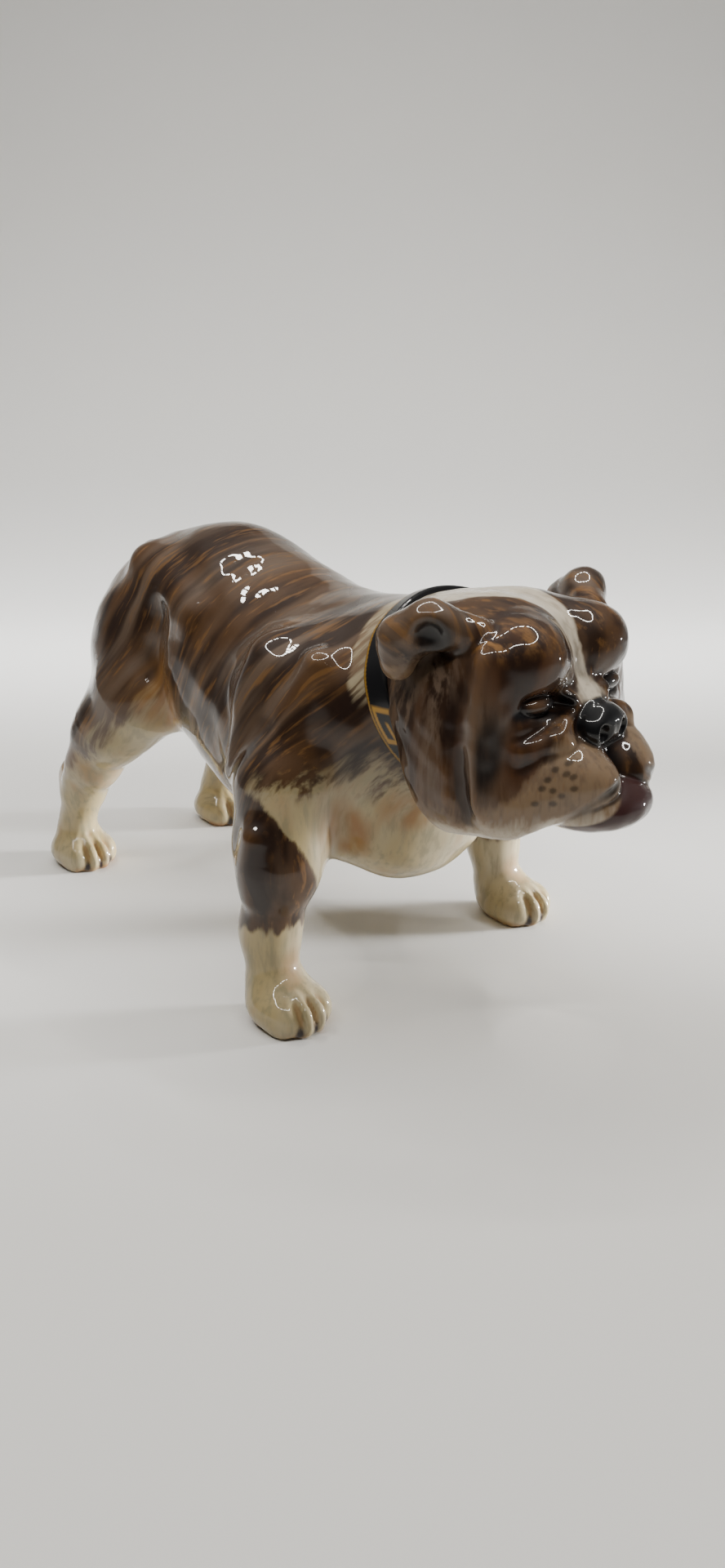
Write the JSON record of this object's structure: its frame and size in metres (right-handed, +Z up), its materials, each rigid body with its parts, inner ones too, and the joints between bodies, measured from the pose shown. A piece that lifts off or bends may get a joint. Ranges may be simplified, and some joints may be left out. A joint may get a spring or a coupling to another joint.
{
  "type": "ceramic dog figurine",
  "caption": "Standing glazed ceramic bulldog figurine with brindle body, white blaze, undershot jaw, folded ears and a raised collar; an ornament for a shelf.",
  "frame": {"origin": "on the floor, under the middle of the figure's bounding box", "axes": "+X the way the dog faces, +Y its left, +Z up"},
  "size_m": [0.1533, 0.0822, 0.086],
  "materials": {
    "brindle_body": "gloss glaze over brushed brown brindle",
    "brindle_head": "gloss glaze, dark mask with a white blaze",
    "black_gold_collar": "gloss black with gilt edge lines",
    "cream_leg": "gloss cream with tan shading",
    "brown_ear": "gloss brown"
  },
  "bodies": {
    "root": {"torso": "brindle_body", "head": "brindle_head", "collar": "black_gold_collar", "right_foreleg": "cream_leg", "left_foreleg": "cream_leg", "right_hindleg": "cream_leg", "left_hindleg": "cream_leg", "right_ear": "brown_ear", "left_ear": "brown_ear", "tail": "brindle_body"}
  },
  "joints": []
}
